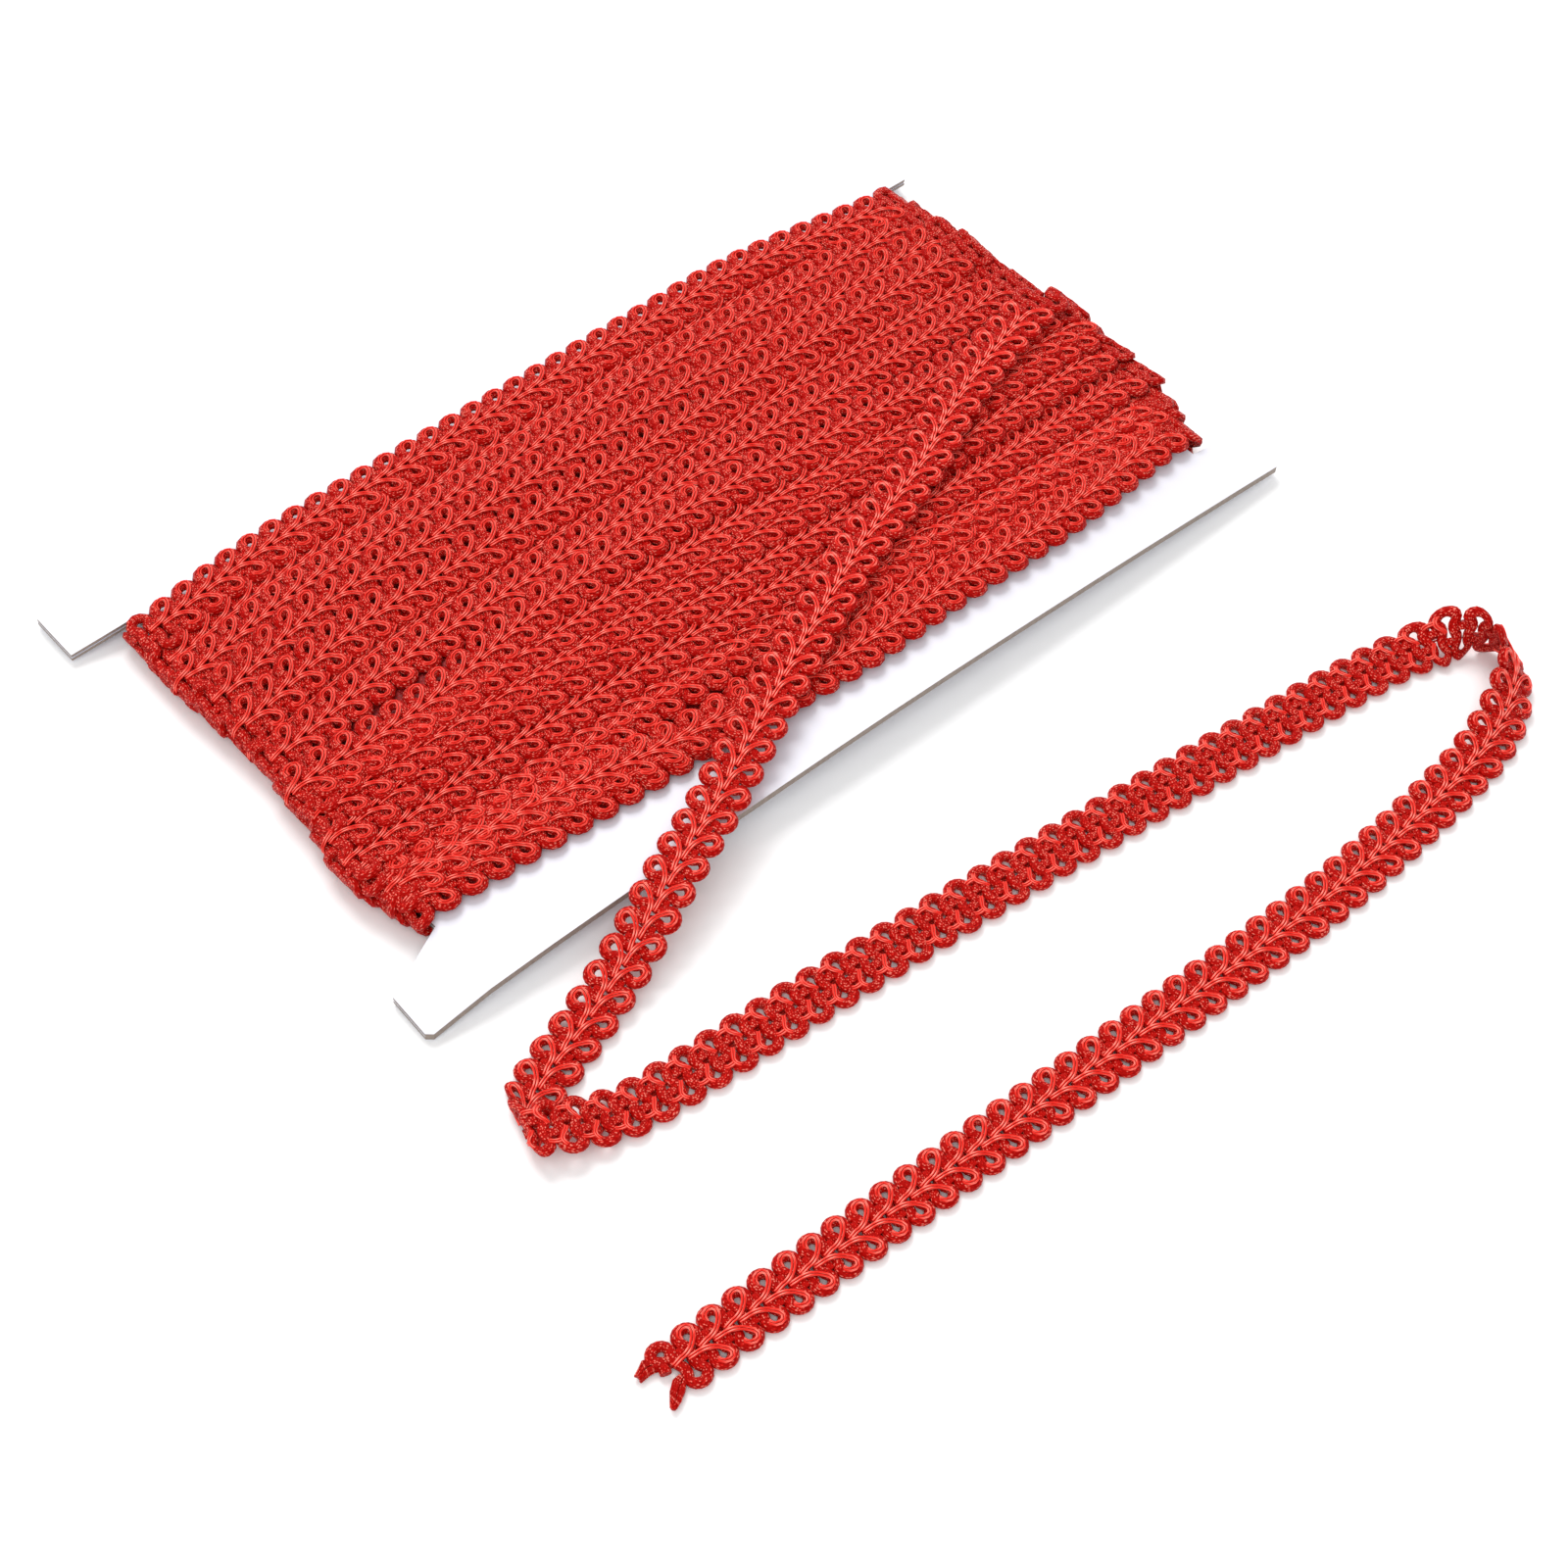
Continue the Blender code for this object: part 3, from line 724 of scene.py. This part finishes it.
def make_cord_material(name, gap_painted_shade, body, stitch_painted_highlight, stitch, depth):
    """Lustrous viscose cord whose stitches follow the cord, with painted highlights and
    painted shade.
    """
    material = bpy.data.materials.new(name)
    material.use_nodes = True
    tree = material.node_tree
    tree.nodes.clear()
    run = add_node(tree, "ShaderNodeAttribute", attribute_name="run").outputs["Fac"]
    ring = add_node(tree, "ShaderNodeAttribute", attribute_name="ring").outputs["Vector"]
    rim = add_node(tree, "ShaderNodeSeparateXYZ", ring).outputs
    place = add_node(tree, "ShaderNodeCombineXYZ", run, rim["X"], rim["Y"]).outputs[0]
    scale = (1 / (stitch[0] * MM), 1 / (stitch[1] * MM), 1 / (stitch[1] * MM))
    stitches = add_node(
        tree, "ShaderNodeVectorMath", place, scale, operation="MULTIPLY"
    ).outputs[0]
    cells = add_node(tree, "ShaderNodeTexVoronoi", stitches, None, 1.0)
    cells.inputs["Randomness"].default_value = 0.75
    high = add_node(
        tree, "ShaderNodeMapRange", cells.outputs["Distance"], 0.12, 0.64, 1.0, 0.0
    ).outputs[0]
    tint = add_node(tree, "ShaderNodeTexNoise", stitches, None, 0.35, 2.0).outputs[0]
    tint = add_node(tree, "ShaderNodeMapRange", tint, 0.35, 0.65, -0.12, 0.12).outputs[0]
    shade = add_node(tree, "ShaderNodeMath", high, tint, operation="ADD").outputs[0]
    # Painted light: the ramp puts painted shade, a deep red, in the gaps between stitches
    # and a painted highlight on their middles, with the cord's own red between.
    ramp = add_node(tree, "ShaderNodeValToRGB", shade)
    ramp.color_ramp.elements[0].position = 0.05
    ramp.color_ramp.elements[0].color = linear(gap_painted_shade)
    ramp.color_ramp.elements[1].position = 0.97
    ramp.color_ramp.elements[1].color = linear(stitch_painted_highlight)
    ramp.color_ramp.elements.new(0.55).color = linear(body)
    bump = add_node(tree, "ShaderNodeBump", 0.9, depth * MM)
    tree.links.new(high, bump.inputs["Height"])
    shader = add_node(tree, "ShaderNodeBsdfPrincipled", ramp.outputs[0])
    tree.links.new(bump.outputs[0], shader.inputs["Normal"])
    shader.inputs["Roughness"].default_value = 0.42
    shader.inputs["IOR"].default_value = 1.53
    shader.inputs["Specular IOR Level"].default_value = 0.22
    shader.inputs["Specular Tint"].default_value = linear("#FF8070")
    shader.inputs["Sheen Weight"].default_value = 0.03
    shader.inputs["Sheen Roughness"].default_value = 0.35
    shader.inputs["Sheen Tint"].default_value = linear("#FF9A8C")
    output = tree.nodes.new("ShaderNodeOutputMaterial")
    tree.links.new(shader.outputs[0], output.inputs[0])
    return material


ground_material = make_cord_material(
    "crocheted viscose cord", "#A00000", "#D4150E", "#FF907E",
    (STITCH_LENGTH, STITCH_WIDTH), STITCH_DEPTH,
)
# The twin cord's reds are lighter than the ground cord's as a painted sheen, and its ramp
# paints highlight and shade in long streaks along the fibres.
vine_material = make_cord_material(
    "twisted viscose twin cord", "#DC241C", "#F6564A", "#FFA090",
    (TWIN_FIBRE_LENGTH, TWIN_FIBRE_WIDTH), TWIN_FIBRE_DEPTH,
)
print("materials:", ground_material.name, "and", vine_material.name)

# %% [markdown]
# ## Laying cord along the guides
# A guide becomes a mesh of edges with its two directions stored on the points.
# A modifier runs a tree on it, the evaluated result is copied to a plain mesh,
# and the guide is deleted. The meshes of several turns are joined to one piece.


# %% Run a tree on guides
def guide_object(guide):
    """A line that carries the braid's directions as attributes."""
    thing = line_object("guide", [[step[0] for step in guide]])
    for name, column in (("across", 1), ("face", 2)):
        attribute = thing.data.attributes.new(name, "FLOAT_VECTOR", "POINT")
        flat = [value for step in guide for value in step[column]]
        attribute.data.foreach_set("vector", flat)
    return thing


def lay(work):
    """Lay cord on guides with their settings and return one joined mesh."""
    bm = bmesh.new()
    for guide, settings in work:
        thing = guide_object(guide)
        modifier = thing.modifiers.new("lay", "NODES")
        modifier.node_group = braiding_tree
        for item in braiding_tree.interface.items_tree:
            if item.in_out == "INPUT" and item.name in settings:
                modifier[item.identifier] = settings[item.name]
        evaluated = thing.evaluated_get(bpy.context.evaluated_depsgraph_get())
        made = bpy.data.meshes.new_from_object(evaluated)
        bm.from_mesh(made)
        bpy.data.meshes.remove(made)
        bpy.data.objects.remove(thing, do_unlink=True)
    mesh = bpy.data.meshes.new("laid")
    bm.to_mesh(mesh)
    bm.free()
    return mesh


def guide_length(guide):
    """Length of a guide in millimetres."""
    return sum((b[0] - a[0]).length for a, b in zip(guide, guide[1:]))


def cord_work(guide, pitch, kind, fine=False, start=0.0, bare=0.0):
    """One guide with the settings of its ground cord, vine or binding, in metres."""
    length = guide_length(guide)
    pitch = length / round(length / pitch)
    ground = kind == "ground"
    if kind == "binding":
        drawn = binding
        sides = 4
    elif ground:
        drawn = repeat_fine if fine else repeat_wound
        sides = 10 if fine else 6
    else:
        drawn = leaf_fine if fine else leaf_wound
        sides = 6 if fine else 4
    radius = VINE_RADIUS
    if ground:
        radius = CORD_RADIUS if fine else WOUND_RADIUS
    if kind == "vine":
        start += LEAF_START * pitch / SCALLOP_PITCH + (0.0 if fine else pitch)
    return guide, {
        "Drawn repeat": drawn,
        "Drawn pitch": SCALLOP_PITCH * MM,
        "Pitch": pitch * MM,
        "Start": start * MM,
        "Spare at the end": 0.0 if ground else (1.5 * pitch + bare) * MM,
        "Mirror half a repeat later": not ground,
        "Cord radius": radius * MM,
        "Pressed to": CORD_PRESS if ground else 1.0,
        "Sides": sides,
        "Material": ground_material if ground else vine_material,
    }


def add_piece(name, mesh, nodes, material=None):
    """Make a piece that rides on the body and stands for the CAD nodes."""
    mesh.name = name
    if material is not None:
        mesh.materials.clear()
        mesh.materials.append(material)
    piece = bpy.data.objects.new(name, mesh)
    bpy.context.scene.collection.objects.link(piece)
    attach(piece, "root")
    if nodes:
        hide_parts(*nodes)
    print(name, "has", sum(len(p.vertices) - 2 for p in mesh.polygons), "triangles")
    return piece


# %% [markdown]
# ## The winding
# The turns are laid in groups, so that no piece is too heavy. Their vine goes
# round the left end and over the top. It stops before the right end: a whole
# turn of vine would make the pieces too heavy, and most of it would be hidden.

# %% Lay the turns
GROUPS = (("back", 0, 6), ("middle", 6, 11), ("front", 11, 16))
PHASE_STEP = 2.3
for group, first, last in GROUPS:
    for kind, material in (("ground", ground_material), ("vine", vine_material)):
        work = [
            cord_work(
                guides[n], WOUND_PITCH, kind,
                start=-(n * PHASE_STEP % SCALLOP_PITCH), bare=guide_length(guides[n]) / 2,
            )
            for n in range(first, last)
        ]
        name = "winding_" + kind + "_" + group
        add_piece(name, lay(work), ["winding"], material)

# %% [markdown]
# ## The hidden turns
# Under the rows that show lie more turns. Only slits of them are seen, so they
# are one quilted sleeve round the card in the same yarn, darkened with painted shade.

# %% The sleeve of hidden turns
WINDING_EDGES = (
    # x, front, back
    (-104.0, -46.5, 49.0),
    (-74.0, -49.0, 53.0),
    (-38.0, -52.5, 54.5),
    (-2.0, -54.5, 55.5),
    (64.0, -54.0, 56.0),
    (104.0, -50.0, 52.0),
)
SLEEVE_SECTIONS = 96
SLEEVE_STATIONS = 60
SLEEVE_QUILT = 0.25


def across_winding(x, share):
    """A place between the winding's front edge and its back edge."""
    front, back = (on_lines(WINDING_EDGES, x, column) for column in (1, 2))
    return front * (1 - share) + back * share


def make_sleeve():
    """A closed sleeve a little inside the wound turns."""
    bm = bmesh.new()
    rings = []
    for section in range(SLEEVE_SECTIONS + 1):
        share = section / SLEEVE_SECTIONS
        middle = across_winding(0.0, share)
        left = on_lines(WINDING_ENDS, middle, 1) + 2.4
        right = on_lines(WINDING_ENDS, middle, 2) - 2.4
        ring = []
        for station in range(SLEEVE_STATIONS):
            angle = 2 * math.pi * station / SLEEVE_STATIONS
            reach = math.copysign(abs(math.cos(angle)) ** 0.35, math.cos(angle))
            x = (left + right) / 2 - reach * (right - left) / 2
            y = across_winding(x, share)
            top = base_height(x, y) - 0.1
            low = 1.3
            side = math.sin(angle)
            z = (top + low) / 2 + math.copysign(abs(side) ** 0.35, side) * (top - low) / 2
            z += SLEEVE_QUILT * math.sin(2 * math.pi * y / 3.1) * (1 if side > 0 else -1)
            ring.append(bm.verts.new((x * MM, y * MM, z * MM)))
        rings.append(ring)
    for ring, following in zip(rings, rings[1:]):
        for i in range(SLEEVE_STATIONS):
            j = (i + 1) % SLEEVE_STATIONS
            bm.faces.new((ring[i], ring[j], following[j], following[i]))
    bm.faces.new(rings[0])
    bm.faces.new(rings[-1])
    bmesh.ops.recalc_face_normals(bm, faces=bm.faces)
    for face in bm.faces:
        face.smooth = True
    mesh = bpy.data.meshes.new("sleeve")
    bm.to_mesh(mesh)
    bm.free()
    return mesh


sleeve_material = bpy.data.materials.new("viscose braid with painted shade")
sleeve_material.use_nodes = True
tree = sleeve_material.node_tree
place = add_node(tree, "ShaderNodeTexCoord").outputs["Object"]
cells = add_node(tree, "ShaderNodeTexVoronoi", place, None, 1600.0).outputs["Distance"]
ramp = add_node(tree, "ShaderNodeValToRGB", cells)
# Painted shade: the hidden turns' red is darkened, and darker still towards the edges of
# each cell.
ramp.color_ramp.elements[0].color = linear("#B00404")
ramp.color_ramp.elements[1].color = linear("#680000")
bump = add_node(tree, "ShaderNodeBump")
bump.inputs["Distance"].default_value = 0.3 * MM
tree.links.new(cells, bump.inputs["Height"])
shader = tree.nodes["Principled BSDF"]
tree.links.new(ramp.outputs[0], shader.inputs["Base Color"])
tree.links.new(bump.outputs[0], shader.inputs["Normal"])
shader.inputs["Roughness"].default_value = 0.6
add_piece("hidden_turns", make_sleeve(), ["winding"], sleeve_material)

# %% [markdown]
# ## The loose end as a laid band
# The loose end is the same braid with finer steps, since it is seen nearest. It
# is a strip of textile that lies where it falls, and its vine is a piece of its own.

# %% Lay the loose end
TURNED_AT = 262.0
split = next(
    index
    for index in range(len(loose_guide))
    if guide_length(loose_guide[: index + 1]) > TURNED_AT
)
stretches = ((loose_guide[: split + 1], SCALLOP_PITCH), (loose_guide[split:], WOUND_PITCH))
loose_ground = add_piece(
    "loose_end_ground",
    lay([cord_work(guide, pitch, "ground", fine=True) for guide, pitch in stretches]),
    ["loose_end"],
    ground_material,
)
loose_vine = add_piece(
    "loose_end_vine",
    lay([cord_work(guide, pitch, "vine", fine=True) for guide, pitch in stretches]),
    ["loose_end"],
    vine_material,
)
loose_binding = add_piece(
    "loose_end_binding",
    lay([cord_work(guide, pitch, "binding", fine=True) for guide, pitch in stretches]),
    ["loose_end"],
    vine_material,
)

# %% [markdown]
# The end was cut with scissors, so the gimp has opened: the two cords splay
# like a fish tail and their fine yarns stand apart. A straight cap would look
# like moulded plastic.

# %% The cut end
TUFTS = (
    # side, places from the root to the tip, width at each
    (1, ((2.0, 1.6), (0.0, 2.4), (-2.2, 2.9), (-4.6, 2.3)), (0.7, 1.5, 1.6, 0.9)),
    (-1, ((1.8, 2.4), (0.3, 3.2), (-1.5, 4.4), (-3.4, 5.9)), (0.7, 1.4, 1.2, 0.3)),
)
TUFT_YARNS = 26
TUFT_RADIUS = 0.3
draw = random.Random(5)
yarns = []
for side, spine, widths in TUFTS:
    for _ in range(TUFT_YARNS):
        angle = draw.uniform(0.0, 2 * math.pi)
        spread = math.sqrt(draw.random())
        reach = draw.uniform(0.82, 1.0)
        yarns.append(
            [
                Vector(
                    (
                        x * (reach if x < 0 else 1.0),
                        side * (across + width * spread * math.cos(angle)),
                        0.5 * min(width, 1.1) * spread * math.sin(angle),
                    )
                )
                for (x, across), width in zip(spine, widths)
            ]
        )
tuft = line_object("cut end", yarns)
cut_settings = cord_work(stretches[0][0], SCALLOP_PITCH, "vine", fine=True)[1]
cut_settings.update(
    {
        "Drawn repeat": tuft,
        "Drawn pitch": 0.2,
        "Pitch": 0.2,
        "Start": 0.0,
        "Mirror half a repeat later": False,
        "Cord radius": TUFT_RADIUS * MM,
        "Material": ground_material,
    }
)
loose_cut = add_piece(
    "loose_end_cut",
    lay([(stretches[0][0], cut_settings)]),
    ["loose_end"],
    ground_material,
)
for drawn in (repeat_fine, repeat_wound, leaf_fine, leaf_wound, binding, tuft):
    bpy.data.objects.remove(drawn, do_unlink=True)

# %% [markdown]
# ## White-lined card board
# The winding card is grey-brown recycled board with a white clay-coated lining,
# printed on neither side. The coating is smooth and slightly glossy, and the
# cut edge shows the raw board, so the colour depends on which way a face looks.

# %% The card's material
card_material = bpy.data.materials.new("white-lined card board")
card_material.use_nodes = True
tree = card_material.node_tree
shader = tree.nodes["Principled BSDF"]
normal = add_node(tree, "ShaderNodeNewGeometry").outputs["True Normal"]
upright = add_node(tree, "ShaderNodeSeparateXYZ", normal).outputs["Z"]
level = add_node(tree, "ShaderNodeMath", upright, operation="ABSOLUTE").outputs[0]
lining = add_node(tree, "ShaderNodeMapRange", level, 0.55, 0.75, 0.0, 1.0).outputs[0]
place = add_node(tree, "ShaderNodeTexCoord").outputs["Object"]
fibres = add_node(tree, "ShaderNodeTexNoise", place, None, 900.0, 3.0).outputs[0]
clouds = add_node(tree, "ShaderNodeTexNoise", place, None, 25.0, 2.0).outputs[0]
edge = add_node(tree, "ShaderNodeMix", fibres, data_type="RGBA")
edge.inputs[6].default_value = linear("#6E6058")
edge.inputs[7].default_value = linear("#9C8D80")
white = add_node(tree, "ShaderNodeMix", clouds, data_type="RGBA")
white.inputs[6].default_value = linear("#DCDCE5")
white.inputs[7].default_value = linear("#E2E2EA")
board = add_node(tree, "ShaderNodeMix", lining, data_type="RGBA")
tree.links.new(edge.outputs[2], board.inputs[6])
tree.links.new(white.outputs[2], board.inputs[7])
tree.links.new(board.outputs[2], shader.inputs["Base Color"])
bump = add_node(tree, "ShaderNodeBump")
bump.inputs["Strength"].default_value = 0.15
bump.inputs["Distance"].default_value = 0.05 * MM
tree.links.new(fibres, bump.inputs["Height"])
tree.links.new(bump.outputs[0], shader.inputs["Normal"])
shader.inputs["Roughness"].default_value = 0.45
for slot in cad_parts["card"].material_slots:
    slot.material = card_material
print("card board on", len(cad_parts["card"].material_slots), "slot")

# %% [markdown]
# ## Floor, light and camera
# The braid lies on a plain white table under soft studio light. A large soft
# lamp behind and above gives the cords their small highlights, and the white
# surroundings fill the shadows. The camera stands where it stood for the
# photograph, close to the near corner and looking down.

# %% The table
floor_mesh = bpy.data.meshes.new("floor")
floor_mesh.from_pydata([(-3, -3, 0), (3, -3, 0), (3, 3, 0), (-3, 3, 0)], [], [(0, 1, 2, 3)])
floor = bpy.data.objects.new("floor", floor_mesh)
bpy.context.scene.collection.objects.link(floor)
floor_material = bpy.data.materials.new("white table")
floor_material.use_nodes = True
floor_shader = floor_material.node_tree.nodes["Principled BSDF"]
floor_shader.inputs["Base Color"].default_value = linear("#FBFBFB")
floor_shader.inputs["Roughness"].default_value = 0.9
floor_shader.inputs["Specular IOR Level"].default_value = 0.1
floor_mesh.materials.append(floor_material)
print("table is 6 m square")

# %% Light
world = bpy.data.worlds.new("studio")
world.use_nodes = True
world.node_tree.nodes["Background"].inputs["Color"].default_value = (1, 1, 1, 1)
world.node_tree.nodes["Background"].inputs["Strength"].default_value = 0.75
bpy.context.scene.world = world
LAMPS = (
    # name, place, size in metres, power in watts
    ("key", (0.25, 0.75, 1.0), 0.7, 11.0),
    ("fill", (-0.7, -0.5, 1.1), 0.9, 5.0),
)
for name, place, size, power in LAMPS:
    lamp = bpy.data.lights.new(name, "AREA")
    lamp.size = size
    lamp.energy = power
    thing = bpy.data.objects.new(name, lamp)
    thing.location = place
    thing.rotation_euler = (-Vector(place)).to_track_quat("-Z", "Y").to_euler()
    bpy.context.scene.collection.objects.link(thing)
bpy.context.scene.view_settings.view_transform = "Standard"
print(len(LAMPS), "soft lamps")

# %% Camera
camera_data = bpy.data.cameras.new("camera")
camera_data.lens = 66.53
camera_data.sensor_width = 36.0
camera_data.clip_start = 0.01
camera = bpy.data.objects.new("camera", camera_data)
camera.location = (-0.2882309, -0.31945623, 0.46813849)
camera.rotation_euler = (0.6625, -0.0563, -0.7256)
bpy.context.scene.collection.objects.link(camera)
bpy.context.scene.camera = camera
print("camera is", round(camera.location.length, 3), "m from the card's middle")
